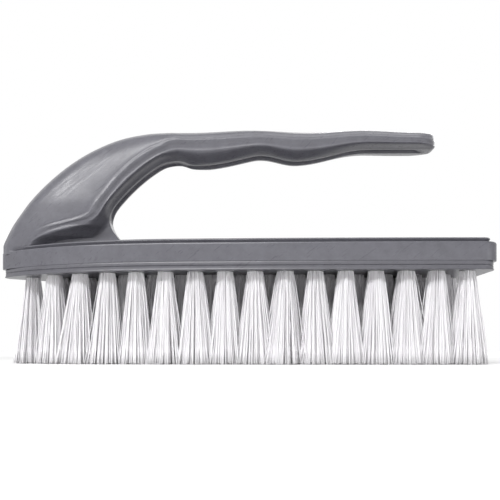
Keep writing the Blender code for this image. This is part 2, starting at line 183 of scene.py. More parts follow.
# The heel's sections, seen in the side view: outer x, z and inner x, z from the nose and the deck, in mm,
# then its half width, the shoulder's share of it and run, the web's half width and the channel's depth
HEEL_SECTIONS = (
    ((1.3, -2.8), (52.0, -2.8), 7.6, 0.34, 26.0, 5.2, 0.0),
    ((1.2, -0.5), (49.3, -0.6), 9.1, 0.36, 27.0, 4.7, 0.0),
    ((1.3, 1.0), (47.6, 0.8), 9.5, 0.37, 28.0, 4.2, 0.0),
    ((2.5, 3.6), (45.3, 3.2), 9.9, 0.41, 31.0, 3.8, 0.0),
    ((4.9, 8.1), (42.7, 6.8), 10.2, 0.45, 33.0, 3.7, 0.0),
    ((8.2, 12.9), (41.8, 10.6), 10.4, 0.48, 34.0, 3.7, 0.3),
    ((12.2, 18.1), (43.3, 14.8), 10.5, 0.50, 34.0, 3.7, 0.9),
    ((18.3, 24.4), (46.8, 19.2), 10.5, 0.50, 34.0, 3.7, 0.9),
    ((26.2, 30.9), (51.9, 24.3), 10.5, 0.50, 31.0, 3.7, 0.9),
    ((35.2, 36.4), (57.4, 28.7), 10.4, 0.52, 25.0, 3.7, 0.9),
    ((45.4, 40.6), (62.4, 31.6), 10.2, 0.55, 17.0, 3.7, 0.9),
    ((55.4, 42.6), (68.0, 32.4), 10.0, 0.59, 10.0, 3.7, 0.9),
)

# Lines on the heel's side: x from the nose, z from the deck and inset from the side, in mm
FLARE_LINE = ((8.3, -4.0, 0.0), (9.0, -0.8, 0.0), (10.6, 2.6, 0.0), (12.8, 4.6, 0.0), (16.6, 6.7, 0.04),
              (20.8, 8.2, 0.1), (24.5, 9.0, 0.12), (28.2, 9.9, 0.12), (31.7, 10.9, 0.12),
              (33.6, 11.6, 0.12), (35.0, 12.6, 0.12), (37.9, 16.9, 0.12), (43.8, 24.3, 0.12),
              (47.3, 28.0, 0.12), (51.4, 31.7, 0.12), (56.8, 35.4, 0.12), (61.5, 37.6, 0.1),
              (66.4, 39.4, 0.08), (80.0, 40.7, 0.06))
CREASE_LINE = ((9.8, -4.0, 0.0), (10.4, -1.0, 0.0), (11.8, 1.9, 0.0), (13.8, 3.6, 0.0), (17.1, 5.6, -0.06),
               (21.1, 7.1, -0.12), (24.8, 7.9, -0.18), (28.6, 8.8, -0.18), (32.3, 9.7, -0.18),
               (34.4, 10.4, -0.18), (36.1, 11.7, -0.18), (38.9, 16.2, -0.18), (44.7, 23.5, -0.18),
               (48.1, 27.1, -0.18), (52.2, 30.8, -0.18), (57.4, 34.3, -0.18), (62.0, 36.5, -0.12),
               (66.9, 38.2, -0.12), (80.0, 39.2, -0.12))
GROOVE_LINE = ((10.4, -4.0, 0.3), (11.0, -1.2, 0.3), (12.4, 1.4, 0.2), (14.6, 3.1, 0.2), (17.5, 4.9, 0.2),
               (21.2, 6.3, 0.3), (24.9, 7.3, 0.34), (28.7, 8.2, 0.36), (32.4, 9.0, 0.38),
               (35.4, 9.8, 0.46), (38.2, 11.8, 0.62), (41.0, 16.2, 0.82), (46.6, 23.4, 0.86),
               (50.9, 27.3, 0.86), (56.1, 31.2, 0.82), (62.0, 34.7, 0.7), (67.8, 36.4, 0.58),
               (80.0, 37.0, 0.54))
ROLL_LINE = ((12.0, -4.0, 0.12), (12.6, -1.5, 0.12), (13.8, 1.2, 0.08), (15.2, 2.4, 0.04),
             (18.0, 3.7, 0.0), (21.6, 4.8, 0.0), (25.2, 5.6, 0.0), (28.9, 6.3, 0.0), (32.4, 7.0, 0.04),
             (36.0, 7.7, 0.2), (39.0, 10.9, 0.36), (42.0, 15.5, 0.44), (45.8, 20.1, 0.44),
             (51.0, 25.3, 0.44), (56.6, 29.9, 0.44), (62.0, 33.1, 0.44), (67.9, 34.4, 0.4),
             (80.0, 34.7, 0.4))
UNDER_LINE = ((15.5, -4.0, 4.6), (16.0, -0.6, 4.9), (19.5, 1.2, 5.6), (24.0, 2.6, 6.2), (30.0, 3.4, 6.4),
              (36.5, 4.0, 6.4), (39.6, 7.4, 6.0), (41.2, 11.0, 5.2), (42.5, 15.2, 4.4), (46.1, 19.8, 4.2),
              (51.3, 25.0, 4.2), (56.9, 29.4, 4.2), (62.1, 32.4, 4.1), (68.0, 33.3, 4.0), (80.0, 33.6, 3.9))

# Where the tufts stand; the outline is measured a little ahead of each row
FIRST_ROW = 12.0 * MM
ROW_SPACING = 10.56 * MM
REAR_MARGIN = 9.0 * MM
TUFT_EDGE = 6.2 * MM
LEAST_TUFT_OFFSET = 7.5 * MM
EDGE_PROBE = 2.03 * MM
HOLE_RADIUS = 2.6 * MM
HOLE_SEGMENTS = 24

# Filaments, spread evenly over the root by the golden angle and then scattered. A kink is a wave that starts at
# nothing at the root and fades out past the tip. Pairs are ranges of a random factor, power or number of waves.
FILAMENTS_A_TUFT = 460
FILAMENT_RADIUS = 0.125 * MM
FILAMENT_SIDES = 3
FILAMENT_SEGMENTS = 5
RADIUS_RANGE = (0.85, 1.15)
TIP_SWELL = 1.7
ROOT_RADIUS = 2.4 * MM
ROOT_DEPTH = 2.4 * MM
TIP_RADIUS = 6.2 * MM
TIP_RADIUS_RANGE = (0.9, 1.08)
TIP_SCATTER = 0.75 * MM
TUFT_LEAN = 0.45 * MM
FAN_RANGE = (0.8, 1.2)
TRIM_SCATTER = 0.34 * MM
GOLDEN_ANGLE = math.radians(137.508)
ANGLE_SCATTER = 0.15
KINK = 0.16 * MM
KINK_WAVES = (0.7, 1.6)
KINK_HEIGHT = 2.2
KINK_END = 1.15
STRAY_SHARE = 0.07
STRAY_KINK = 4.0
WIDEST_STRAY = 0.9 * MM
FIRST_SEED = 1000

# Where a filament's strip lies within its share of the texture map
STRIP_START = 0.2
STRIP_WIDTH = 0.6
STRIP_BOTTOM = 0.02
STRIP_HEIGHT = 0.96

# Edges sharper than these stay sharp
SHARP_ANGLE = math.radians(38.0)
FILAMENT_SHARP_ANGLE = math.radians(95.0)

# Plastic: clouded between two greys, with slanting scuffs and a fine pebble. A noise is its scale, detail and
# roughness.
MOULDING_GREYS = ((0.098, 0.097, 0.112), (0.126, 0.125, 0.144))
BLOCK_GREYS = ((0.094, 0.093, 0.106), (0.116, 0.115, 0.132))
CLOUD_NOISE = (260.0, 9.0, 0.75)
CLOUD_RANGE = (0.34, 0.66)
SCUFF_SLANT = math.radians(38.0)
SCUFF_NOISE = (1.0, 3.0, 0.55)
SCUFF_STRETCH = (160.0, 1500.0, 1500.0)
SCUFF_RANGE = (0.35, 0.7)
SCUFF_ROUGHNESS = (0.27, 0.4)
SCUFF_DEPTH = 0.015 * MM
PEBBLE_NOISE = (2200.0, 2.0, 0.55)
PEBBLE_DEPTH = 0.02 * MM
BUMP_STRENGTH = 0.5
PLASTIC_SPECULAR = 0.42

# Filament: tones from the greyest to the whitest, and a little light that scatters inside
FILAMENT_TONES = ((0.0, (0.90, 0.88, 0.91)), (0.5, (0.94, 0.925, 0.95)), (1.0, (0.97, 0.96, 0.98)))
FILAMENT_ROUGHNESS = 0.4
FILAMENT_SPECULAR = 0.15
FILAMENT_SCATTER = 0.4
FILAMENT_SCATTER_DEPTH = 0.3 * MM

# Stage: the world's plain light, and the floor's grey and its glow by distance from the middle
WHITE = (1.0, 1.0, 1.0, 1.0)
WORLD_LIGHT = 0.25
WORLD_SEEN = 1.0
FLOOR_HALF_SIZE = 3.0
FLOOR_CELLS = 8
FLOOR_GREY = (0.8, 0.8, 0.8, 1.0)
FLOOR_ROUGHNESS = 0.9
GLOW_DISTANCE = (0.3, 1.2)
GLOW_STRENGTH = (0.2, 1.0)

# Lamps: name, place, target, size and power in watts
SOFTBOXES = (
    ("key", (-0.22, -0.75, 0.66), (0.0, 0.0, 0.04), (0.36, 0.22), 5.5),
    ("side", (-0.55, -0.60, 0.60), (0.0, 0.0, 0.05), (0.18, 0.14), 2.6),
    ("top", (0.1, -0.12, 0.8), (0.0, 0.0, 0.05), (0.7, 0.18), 1.5),
    ("low right", (0.80, -0.76, 0.11), (0.0, 0.0, 0.02), (0.7, 0.2), 1.3),
    ("low left", (-0.80, -0.76, 0.11), (0.0, 0.0, 0.02), (0.7, 0.2), 0.6),
    ("low front", (0.15, -1.10, 0.08), (0.0, 0.0, 0.02), (0.7, 0.1), 0.8),
    ("back", (0.45, 0.85, 0.55), (0.0, 0.0, 0.04), (0.7, 0.4), 3.6),
)

# Camera: the photograph's frame is square, and its horizon lies below the middle
CAMERA_LENS = 51.408
CAMERA_SENSOR = 36.0
CAMERA_PLACE = (0.0047, -0.27276, 0.00435)
CAMERA_SHIFT_Y = 0.204
CAMERA_CLIP_START = 0.01


# Meshes

def finish_piece(name, mesh, material, nodes, sharp_angle=SHARP_ANGLE, weighted=True):
    """Make a piece of the mesh that rides on the brush and replaces the CAD nodes."""
    mesh.shade_smooth()
    mesh.set_sharp_from_angle(angle=sharp_angle)
    mesh.materials.clear()
    mesh.materials.append(material)
    obj = bpy.data.objects.new(name, mesh)
    bpy.context.scene.collection.objects.link(obj)
    if weighted:
        normals = obj.modifiers.new("Flat faces stay flat", "WEIGHTED_NORMAL")
        normals.keep_sharp = True
    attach(obj, BODY)
    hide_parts(*nodes)


def scratch_object(name, bm):
    """An object of the given mesh, to use in a Boolean or as it is."""
    bmesh.ops.recalc_face_normals(bm, faces=bm.faces[:])
    mesh = bpy.data.meshes.new(name)
    bm.to_mesh(mesh)
    bm.free()
    obj = bpy.data.objects.new(name, mesh)
    bpy.context.scene.collection.objects.link(obj)
    return obj


def boolean_mesh(name, base, steps):
    """The mesh of base after the Boolean steps, each (operation, other object)."""
    for operation, other in steps:
        modifier = base.modifiers.new(operation.title(), "BOOLEAN")
        modifier.operation = operation
        modifier.solver = "EXACT"
        modifier.object = other
    graph = bpy.context.evaluated_depsgraph_get()
    mesh = bpy.data.meshes.new_from_object(base.evaluated_get(graph))
    mesh.name = name
    for obj in [base] + [other for _, other in steps]:
        bpy.data.objects.remove(obj, do_unlink=True)
    return mesh


# Plan outline

def bezier(p0, p1, p2, p3, t):
    """A point on the cubic curve from p0 to p3."""
    s = 1.0 - t
    return p0 * s**3 + p1 * 3 * s * s * t + p2 * 3 * s * t * t + p3 * t**3


def arc(centre, radius, start, end, steps):
    """Points on an arc; the angles are in degrees."""
    points = []
    for i in range(steps + 1):
        angle = math.radians(start + (end - start) * i / steps)
        points.append(centre + Vector((math.cos(angle), math.sin(angle))) * radius)
    return points


def half_outline():
    """The +Y half of the plan outline, from the nose tip to the middle of the rear end."""
    turn = 90.0 + math.degrees(NOSE_HALF_ANGLE)
    points = arc(Vector((NOSE_TIP + NOSE_RADIUS, 0.0)), NOSE_RADIUS, 180.0, turn, NOSE_TIP_STEPS)
    leave = points[-1]
    shoulder = Vector((NOSE_X + NOSE_LENGTH, HALF_WIDTH - NOSE_TAPER))
    corner = Vector((REAR_X - REAR_CORNER_RADIUS, HALF_WIDTH))
    side = corner - shoulder
    along_nose = Vector((math.cos(NOSE_HALF_ANGLE), math.sin(NOSE_HALF_ANGLE)))
    flank = (side + Vector((0.0, side.y))).normalized()
    for i in range(1, NOSE_STEPS + 1):
        points.append(bezier(leave, leave + along_nose * NOSE_TIP_PULL,
                             shoulder - flank * NOSE_SHOULDER_PULL, shoulder, i / NOSE_STEPS))
    for i in range(1, FLANK_STEPS):
        points.append(bezier(shoulder, shoulder + flank * side.x / 3,
                             corner - Vector((side.x / 3, 0.0)), corner, i / FLANK_STEPS))
    points += arc(corner - Vector((0.0, REAR_CORNER_RADIUS)), REAR_CORNER_RADIUS, 90.0, 0.0,
                  REAR_CORNER_STEPS)
    return points


HALF_OUTLINE = half_outline()


def half_width_at(x):
    """Half width of the plan outline at x."""
    for a, b in zip(HALF_OUTLINE, HALF_OUTLINE[1:]):
        if a.x <= x <= b.x:
            return a.y + (b.y - a.y) * (x - a.x) / (b.x - a.x)
    return 0.0


def inset_outline(inset):
    """The closed outline moved inward by inset, along its own normals."""
    points = HALF_OUTLINE + [Vector((p.x, -p.y)) for p in HALF_OUTLINE[:0:-1]]
    moved = []
    for i, point in enumerate(points):
        before = points[i - 1]
        after = points[(i + 1) % len(points)]
        first = (point - before).normalized()
        second = (after - point).normalized()
        normal = Vector((first.y + second.y, -first.x - second.x)).normalized()
        stretch = 1.0 / max(normal.dot(Vector((first.y, -first.x))), LEAST_MITRE)
        moved.append(point + normal * inset * stretch)
    return moved


def corner_profile(centre, radius, start, end):
    """Profile points (inset, height) on a rounded corner; 0 degrees points outward and 90 upward."""
    points = []
    for i in range(EDGE_STEPS + 1):
        angle = math.radians(start + (end - start) * i / EDGE_STEPS)
        points.append((centre[0] - radius * math.cos(angle), centre[1] + radius * math.sin(angle)))
    return points


def swept_outline(profile):
    """A closed solid: the profile's (inset, height) points as rings on the outline, capped at both ends."""
    bm = bmesh.new()
    rings = [[bm.verts.new((p.x, p.y, height)) for p in inset_outline(inset)] for inset, height in profile]
    for ring, above in zip(rings, rings[1:]):
        for i in range(len(ring)):
            j = (i + 1) % len(ring)
            bm.faces.new((ring[i], ring[j], above[j], above[i]))
    bm.faces.new(rings[0])
    bm.faces.new(rings[-1][::-1])
    return bm


# Handle
# A station is one flat cross-section, seen in the side view as a chord from an outer to an inner point.
# Its half profile starts at a shoulder and widens to the full half width; the lines are set into it.

Station = namedtuple("Station", "outer inner width shoulder run web channel")


def under_line(x):
    """Height of the grip's underside over the deck, at x behind the nose: hollows and finger bulges."""
    z = GRIP_UNDERSIDE
    if x < UNDERSIDE_LEVEL_FROM:
        z -= UNDERSIDE_CURVE * (UNDERSIDE_LEVEL_FROM - x) ** 2
    for middle, depth in ((FIRST_BULGE, FIRST_BULGE_DEPTH), (SECOND_BULGE, SECOND_BULGE_DEPTH)):
        run = BULGE_RUN_IN if x < middle else BULGE_RUN_OUT
        z -= depth * (0.5 + 0.5 * math.cos(math.pi * min(abs(x - middle) / run, 1.0)))
    return z


def top_line(x):
    """Height of the grip's top over the deck, at x behind the nose."""
    z = GRIP_TOP - TOP_WAVE * math.cos(2 * math.pi * (x - TOP_WAVE_START) / TOP_WAVE_PITCH)
    return z - TOP_EASE * max(0.0, 1.0 - (x - TOP_EASE_FROM) / TOP_EASE_RUN) ** 2


def spline(a, b, c, d, t):
    """A point between b and c on a smooth curve through a, b, c and d."""
    return 0.5 * (b * 2 + (c - a) * t + (a * 2 - b * 5 + c * 4 - d) * t * t + (b * 3 - a - c * 3 + d) * t**3)


def smooth_line(points, steps):
    """Points on a smooth curve through the given ones, steps to a gap."""
    result = []
    last = len(points) - 1
    for i in range(last):
        a, b, c, d = (points[max(i - 1, 0)], points[i], points[i + 1], points[min(i + 2, last)])
        for k in range(steps):
            result.append(spline(a, b, c, d, k / steps))
    result.append(points[-1])
    return result


def smooth_stations(stations, steps):
    """Stations on smooth curves through the given ones, steps to a gap."""
    columns = [smooth_line(column, steps) for column in zip(*stations)]
    return [Station(*values) for values in zip(*columns)]


SIDE_LINES = [smooth_line([Vector(point) * MM for point in line], LINE_STEPS)
              for line in (FLARE_LINE, CREASE_LINE, GROOVE_LINE, ROLL_LINE, UNDER_LINE)]


def crossing(station, line):
    """Where a line on the side crosses the section: (distance from its outer end, inset)."""
    chord = station.inner - station.outer
    across = Vector((-chord.y, chord.x))
    for a, b in zip(line, line[1:]):
        before = (a.xy - station.outer).dot(across)
        after = (b.xy - station.outer).dot(across)
        if before <= 0.0 < after:
            point = a.lerp(b, before / (before - after))
            return Vector(((point.xy - station.outer).length, point.z))
    raise ValueError("a line on the heel's side misses a section")


def grip_lines(station):
    """Where the lines lie on the grip's side; they close up in the rounded tip."""
    depth = (station.inner - station.outer).length
    places = []
    narrowing = min(1.0, station.width / GRIP_HALF_WIDTH)
    under = station.width - station.web - GRIP_UNDER_STEP * narrowing
    for start, share, inset in (GRIP_FLARE, GRIP_CREASE, GRIP_GROOVE, GRIP_ROLL, GRIP_UNDER + (under,)):
        places.append(Vector((start * min(1.0, depth / FULL_DEPTH) + share * depth, inset * narrowing)))
    return places


def heel_lines(station):
    """Where the lines cross the heel's section; they turn into the grip's where the heel ends."""
    reach = (station.outer.x + station.inner.x) / 2
    t = min(1.0, max(0.0, (reach - BLEND_FROM) / (BLEND_TO - BLEND_FROM)))
    t = t * t * (3.0 - 2.0 * t)
    return [crossing(station, line).lerp(place, t) for line, place in zip(SIDE_LINES, grip_lines(station))]


def grip_station(x):
    """The grip's section at x behind the nose; it leans forward where the heel ends."""
    lean = GRIP_LEAN * max(0.0, 1.0 - (x - GRIP_START) / GRIP_LEAN_REACH)
    end = HANDLE_REACH - x
    plan = math.sqrt(max(0.0, 1.0 - max(0.0, 1.0 - end / TIP_ROUNDING) ** 2))
    tip_edge = TIP_EDGE_RADIUS - quarter_round(TIP_EDGE_RADIUS, end)
    top = top_line(x - lean) - tip_edge
    bottom = under_line(x + lean) + tip_edge
    taper = max(0.0, (x - GRIP_START) / (HANDLE_REACH - GRIP_START))
    width = (GRIP_HALF_WIDTH - GRIP_TAPER * taper) * plan
    channel = CHANNEL_DEPTH * min(1.0, max(0.0, (end - CHANNEL_END) / CHANNEL_END))
    web = min(WEB_HALF_WIDTH + WEB_SPREAD * taper * taper, TIP_WEB_SHARE * width)
    return Station(Vector((x - lean, top)), Vector((x + lean, bottom)), width, GRIP_SHOULDER,
                   GRIP_SHOULDER_RUN, web, channel)


def quarter_round(radius, end):
    """How far a rounded corner has risen at the distance end from where it starts."""
    run = min(end, radius)
    return math.sqrt(max(0.0, radius**2 - (radius - run) ** 2))


def rounded(before, corner, after, reach, steps, share=SIDE_SHARE):
    """Points that round off a corner, within reach of it and within a share of the sides next to it."""
    back = before - corner
    ahead = after - corner
    start = corner + back * min(reach / back.length, SIDE_SHARE)
    end = corner + ahead * min(reach / ahead.length, share)
    points = []
    for i in range(steps + 1):
        t = i / steps
        points.append(start * (1 - t) ** 2 + corner * 2 * t * (1 - t) + end * t * t)
    return points


def side_width(station, down):
    """Half width of the handle's side at a distance down from the section's outer end."""
    left = 1.0 - min(down / station.run, 1.0)
    return station.width * (1.0 - (1.0 - station.shoulder) * left * left)


def side_point(station, down, inset=0.0):
    """A point of the half profile: (distance down, half width), never inside the web."""
    return Vector((down, max(side_width(station, down) - inset, station.web)))


def section_points(station, lines):
    """One closed ring of points on a station."""
    chord = station.inner - station.outer
    depth = chord.length
    flare, crease, groove, roll, under = (side_point(station, down, inset) for down, inset in lines)
    crown = side_point(station, min(CROWN_DEPTH, CROWN_SHARE * depth))
    first = crown.x + min(CROWN_REACH, CROWN_REACH_SHARE * (flare.x - crown.x))
    side = [side_point(station, first + (flare.x - first) * i / SIDE_STEPS) for i in range(SIDE_STEPS)]
    channel_edge = station.web * CHANNEL_SHARE
    flat = Vector((0.0, crown.y * CROWN_FLAT))
    rim = Vector((depth, station.web))
    edge = Vector((depth, channel_edge))
    half = [Vector((0.0, 0.0)), flat]
    half += rounded(flat, crown, side[0], *CROWN_ROUNDING)
    half += side
    half += rounded(side[-1], flare, crease, *FLARE_ROUNDING)
    half += rounded(flare, crease, groove, *CREASE_ROUNDING)
    half += rounded(crease, groove, roll, *GROOVE_ROUNDING)
    half += rounded(groove, roll, under, *ROLL_ROUNDING)
    half += rounded(roll, under, rim, *UNDER_ROUNDING)
    half += rounded(under, rim, edge, *RIM_ROUNDING)
    half += [edge, Vector((depth - station.channel, channel_edge * CHANNEL_TAPER)),
             Vector((depth - station.channel, 0.0))]
    ring = half + [Vector((p.x, -p.y)) for p in half[-2:0:-1]]
    along = chord.normalized()
    points = []
    for p in ring:
        place = station.outer + along * p.x
        points.append(Vector((NOSE_X + place.x, p.y, DECK_TOP + place.y)))
    return points


def handle_mesh():
    """The heel and the grip, lofted through their cross-sections."""
    heel = [Station(Vector(outer) * MM, Vector(inner) * MM, width * MM, shoulder, run * MM, web * MM,
                    channel * MM)
            for outer, inner, width, shoulder, run, web, channel in HEEL_SECTIONS]
    join = [GRIP_START + STATION_SPACING * i for i in range(JOIN_STATIONS)]
    heel += [grip_station(x) for x in join]
    sections = [section_points(station, heel_lines(station)) for station in smooth_stations(heel, HEEL_STEPS)]
    places = []
    x = join[-1] + STATION_SPACING / GRIP_STEPS
    while x < HANDLE_REACH - TIP_ROUNDING:
        places.append(x)
        x += STATION_SPACING / GRIP_STEPS
    for i in range(TIP_STATIONS):
        angle = math.pi / 2 * i / TIP_STATIONS
        places.append(HANDLE_REACH - TIP_ROUNDING * (1.0 - math.sin(angle)))
    for x in places:
        station = grip_station(x)
        sections.append(section_points(station, grip_lines(station)))
    bm = bmesh.new()
    rings = [[bm.verts.new(p) for p in points] for points in sections]
    for ring, next_ring in zip(rings, rings[1:]):
        for i in range(len(ring)):
            j = (i + 1) % len(ring)
            bm.faces.new((ring[i], ring[j], next_ring[j], next_ring[i]))
    bm.faces.new(rings[0][::-1])
    bm.faces.new(rings[-1])
    return bm


def set_back_ends(bm):
    """Draw both ends of the block in, under the skirt's."""
    for vert in bm.verts:
        for end, way in ((NOSE_TIP, 1.0), (REAR_X, -1.0)):
            near = max(0.0, 1.0 - abs(vert.co.x - end) / END_RUN)
            vert.co.x += way * END_SETBACK * near * near
    return bm


def build_moulding(material):
    """Make the skirt, deck and handle, all one piece."""
    bottom = corner_profile((LIP_RADIUS, SKIRT_BOTTOM + LIP_RADIUS), LIP_RADIUS, -90.0, 0.0)
    top = [(0.0, SKIRT_TOP - BEVEL_EDGE_RADIUS - BEVEL_HEIGHT)]
    top += corner_profile((BEVEL_INSET + BEVEL_EDGE_RADIUS, SKIRT_TOP - BEVEL_EDGE_RADIUS),
                          BEVEL_EDGE_RADIUS, BEVEL_ANGLE, 90.0)
    foot = (DECK_FOOT_INSET - FILLET_RADIUS, SKIRT_TOP + FILLET_RADIUS)
    fillet = [(2 * foot[0] - inset, 2 * foot[1] - height)
              for inset, height in corner_profile(foot, FILLET_RADIUS, 90.0, 0.0)]
    deck_edge = corner_profile((DECK_INSET + DECK_EDGE_RADIUS, DECK_TOP - DECK_EDGE_RADIUS),
                               DECK_EDGE_RADIUS, 0.0, 90.0)
    profile = [(SKIRT_WALL, CEILING), (SKIRT_WALL, SKIRT_BOTTOM)] + bottom + top + fillet + deck_edge
    slab = scratch_object("slab", swept_outline(profile))
    handle = scratch_object("handle", handle_mesh())
    hollow = scratch_object("hollow", swept_outline([(SKIRT_WALL, SKIRT_BOTTOM - HOLLOW_OVERSHOOT),
                                                     (SKIRT_WALL, CEILING)]))
    mesh = boolean_mesh("moulding", slab, [("UNION", handle), ("DIFFERENCE", hollow)])
    finish_piece("moulding", mesh, material, ["handle_moulding"])


def build_block(rows, material):
    """Make the block, with a round hole for each tuft."""
    bead = RIM_INSET - BEVEL_INSET
    bottom = corner_profile((bead + BEVEL_EDGE_RADIUS, BLOCK_BOTTOM + BEVEL_EDGE_RADIUS),
                            BEVEL_EDGE_RADIUS, -90.0, 0.0)
    bottom.append((RIM_INSET, BLOCK_BOTTOM + BEVEL_EDGE_RADIUS + BEVEL_HEIGHT))
    rim = [(RIM_INSET, RIM_TOP - BEVEL_HEIGHT), (RIM_INSET + BEVEL_INSET, RIM_TOP)]
    middle = BLOCK_BOTTOM + RIM_GROOVE
    groove = [(RIM_INSET, middle - RIM_GROOVE_SIZE), (RIM_INSET + RIM_GROOVE_SIZE, middle),
              (RIM_INSET, middle + RIM_GROOVE_SIZE)]
    inside = SKIRT_WALL + FIT_GAP
    profile = bottom + groove + rim + [(inside, RIM_TOP), (inside, BLOCK_TOP)]
    slab = scratch_object("slab", set_back_ends(swept_outline(profile)))
    holes = bmesh.new()
    for x, places in rows:
        for y in places:
            added = bmesh.ops.create_cone(holes, cap_ends=True, segments=HOLE_SEGMENTS, radius1=HOLE_RADIUS,
                                          radius2=HOLE_RADIUS, depth=2 * ROOT_DEPTH)["verts"]
            bmesh.ops.translate(holes, vec=(x, y, BLOCK_BOTTOM), verts=added)
    mesh = boolean_mesh("block", slab, [("DIFFERENCE", scratch_object("holes", holes))])
    finish_piece("block", mesh, material, ["bristle_block"])


# Bristles

def tuft_rows():
    """Each row's x and its tufts' y: three across, and two between them half a spacing further on."""
    rows = []
    x = NOSE_X + FIRST_ROW
    staggered = False
    while x <= REAR_X - REAR_MARGIN:
        reach = half_width_at(x - EDGE_PROBE) - TUFT_EDGE
        if staggered:
            places = [-reach / 2, reach / 2]
        else:
            places = [-reach, 0.0, reach]
        if places[-1] >= LEAST_TUFT_OFFSET:
            rows.append((x, places))
        elif not staggered:
            rows.append((x, [0.0]))
        x += ROW_SPACING / 2
        staggered = not staggered
    return rows


def tuft_paths(x, y, rng):
    """Centre lines of a tuft's filaments: points[filament, ring, xyz], from root to tip."""
    count = FILAMENTS_A_TUFT
    place = np.arange(count)
    angle = place * GOLDEN_ANGLE + rng.normal(0.0, ANGLE_SCATTER, count)
    share = np.sqrt((place + 0.5) / count)
    direction = np.stack([np.cos(angle), np.sin(angle)], axis=1)
    root = direction * (share * ROOT_RADIUS)[:, None]
    lean = rng.normal(0.0, TUFT_LEAN, 2)
    spread = TIP_RADIUS * rng.uniform(*TIP_RADIUS_RANGE)
    tip = direction * (share * spread)[:, None] + rng.normal(0.0, TIP_SCATTER, (count, 2)) + lean
    t = np.linspace(0.0, 1.0, FILAMENT_SEGMENTS + 1)
    top = BLOCK_BOTTOM + ROOT_DEPTH
    trim = np.abs(rng.normal(0.0, TRIM_SCATTER, count))
    fan = t ** rng.uniform(*FAN_RANGE, count)[:, None]
    points = np.empty((count, len(t), 3))
    points[:, :, 0] = x + root[:, :1] + (tip - root)[:, :1] * fan
    points[:, :, 1] = y + root[:, 1:] + (tip - root)[:, 1:] * fan
    points[:, :, 2] = top + (trim[:, None] - top) * t
    kink = np.abs(rng.normal(0.0, KINK, count))
    stray = rng.uniform(0.0, 1.0, count) < STRAY_SHARE
    kink[stray] *= STRAY_KINK
    phase = rng.uniform(0.0, 2 * math.pi, count)
    waves = rng.uniform(*KINK_WAVES, count)
    turn = rng.uniform(0.0, 2 * math.pi, count)
    wave = np.sin(2 * math.pi * waves[:, None] * t + phase[:, None]) * t * (KINK_END - t) * KINK_HEIGHT
    points[:, :, 0] += wave * (kink * np.cos(turn))[:, None]
    points[:, :, 1] += wave * (kink * np.sin(turn))[:, None]
    limit = HALF_WIDTH + WIDEST_STRAY
    points[:, :, 1] = np.clip(points[:, :, 1], -limit, limit)
    return points


def filament_mesh(name, paths, rng):
    """One mesh of closed thin tubes along the paths, with a tone for each filament."""
    count, rings, _ = paths.shape
    sides = FILAMENT_SIDES
    radius = FILAMENT_RADIUS * rng.uniform(*RADIUS_RANGE, count)
    twist = rng.uniform(0.0, 2 * math.pi, count)
    corner = twist[:, None] + 2 * math.pi * np.arange(sides)[None, :] / sides
    ring = np.stack([np.cos(corner), np.sin(corner), np.zeros_like(corner)], axis=2)
    ring *= radius[:, None, None]
    swell = 1.0 + (TIP_SWELL - 1.0) * np.linspace(0.0, 1.0, rings)
    verts = (paths[:, :, None, :] + ring[:, None, :, :] * swell[None, :, None, None]).reshape(-1, 3)
    first = np.arange(count)[:, None, None] * rings * sides
    along = np.arange(rings - 1)[None, :, None] * sides
    around = np.arange(sides)[None, None, :]
    after = (around + 1) % sides
    low = first + along
    quads = np.stack([low + around, low + after, low + sides + after, low + sides + around], axis=3)
    start = np.arange(count)[:, None] * rings * sides
    root_caps = start + np.arange(sides)[None, :]
    tip_caps = start + (rings - 1) * sides + np.arange(sides)[::-1][None, :]
    faces = quads.reshape(-1, 4).tolist() + root_caps.tolist() + tip_caps.tolist()
    mesh = bpy.data.meshes.new(name)
    mesh.from_pydata(verts.tolist(), [], faces)
    tones = np.repeat(rng.uniform(0.0, 1.0, count), rings * sides)
    mesh.attributes.new("tone", "FLOAT", "POINT").data.foreach_set("value", tones.astype(np.float32))
    map_strips(mesh, count, rings, sides)
    return mesh


def map_strips(mesh, count, rings, sides):
    """A texture map that lays the filaments side by side as strips."""
    layer = mesh.uv_layers.new(name="OFBake")
    index = np.empty(len(mesh.loops), np.int32)
    mesh.loops.foreach_get("vertex_index", index)
    filament = index // (rings * sides)
    ring = index % (rings * sides) // sides
    side = index % sides
    u = (filament + STRIP_START + STRIP_WIDTH * side / sides) / count
    v = STRIP_BOTTOM + STRIP_HEIGHT * ring / (rings - 1)
    layer.data.foreach_set("uv", np.stack([u, v], axis=1).astype(np.float32).ravel())


def build_bristles(rows, material):
    """Make a piece of filaments for each tuft row of the CAD model."""
    for number, ((x, places), node) in enumerate(zip(rows, TUFT_ROWS), start=1):
        rng = np.random.default_rng(FIRST_SEED + number)
        paths = np.concatenate([tuft_paths(x, y, rng) for y in places])
        mesh = filament_mesh(f"bristles_{number:02d}", paths, rng)
        finish_piece(mesh.name, mesh, material, [node], sharp_angle=FILAMENT_SHARP_ANGLE, weighted=False)


# Materials

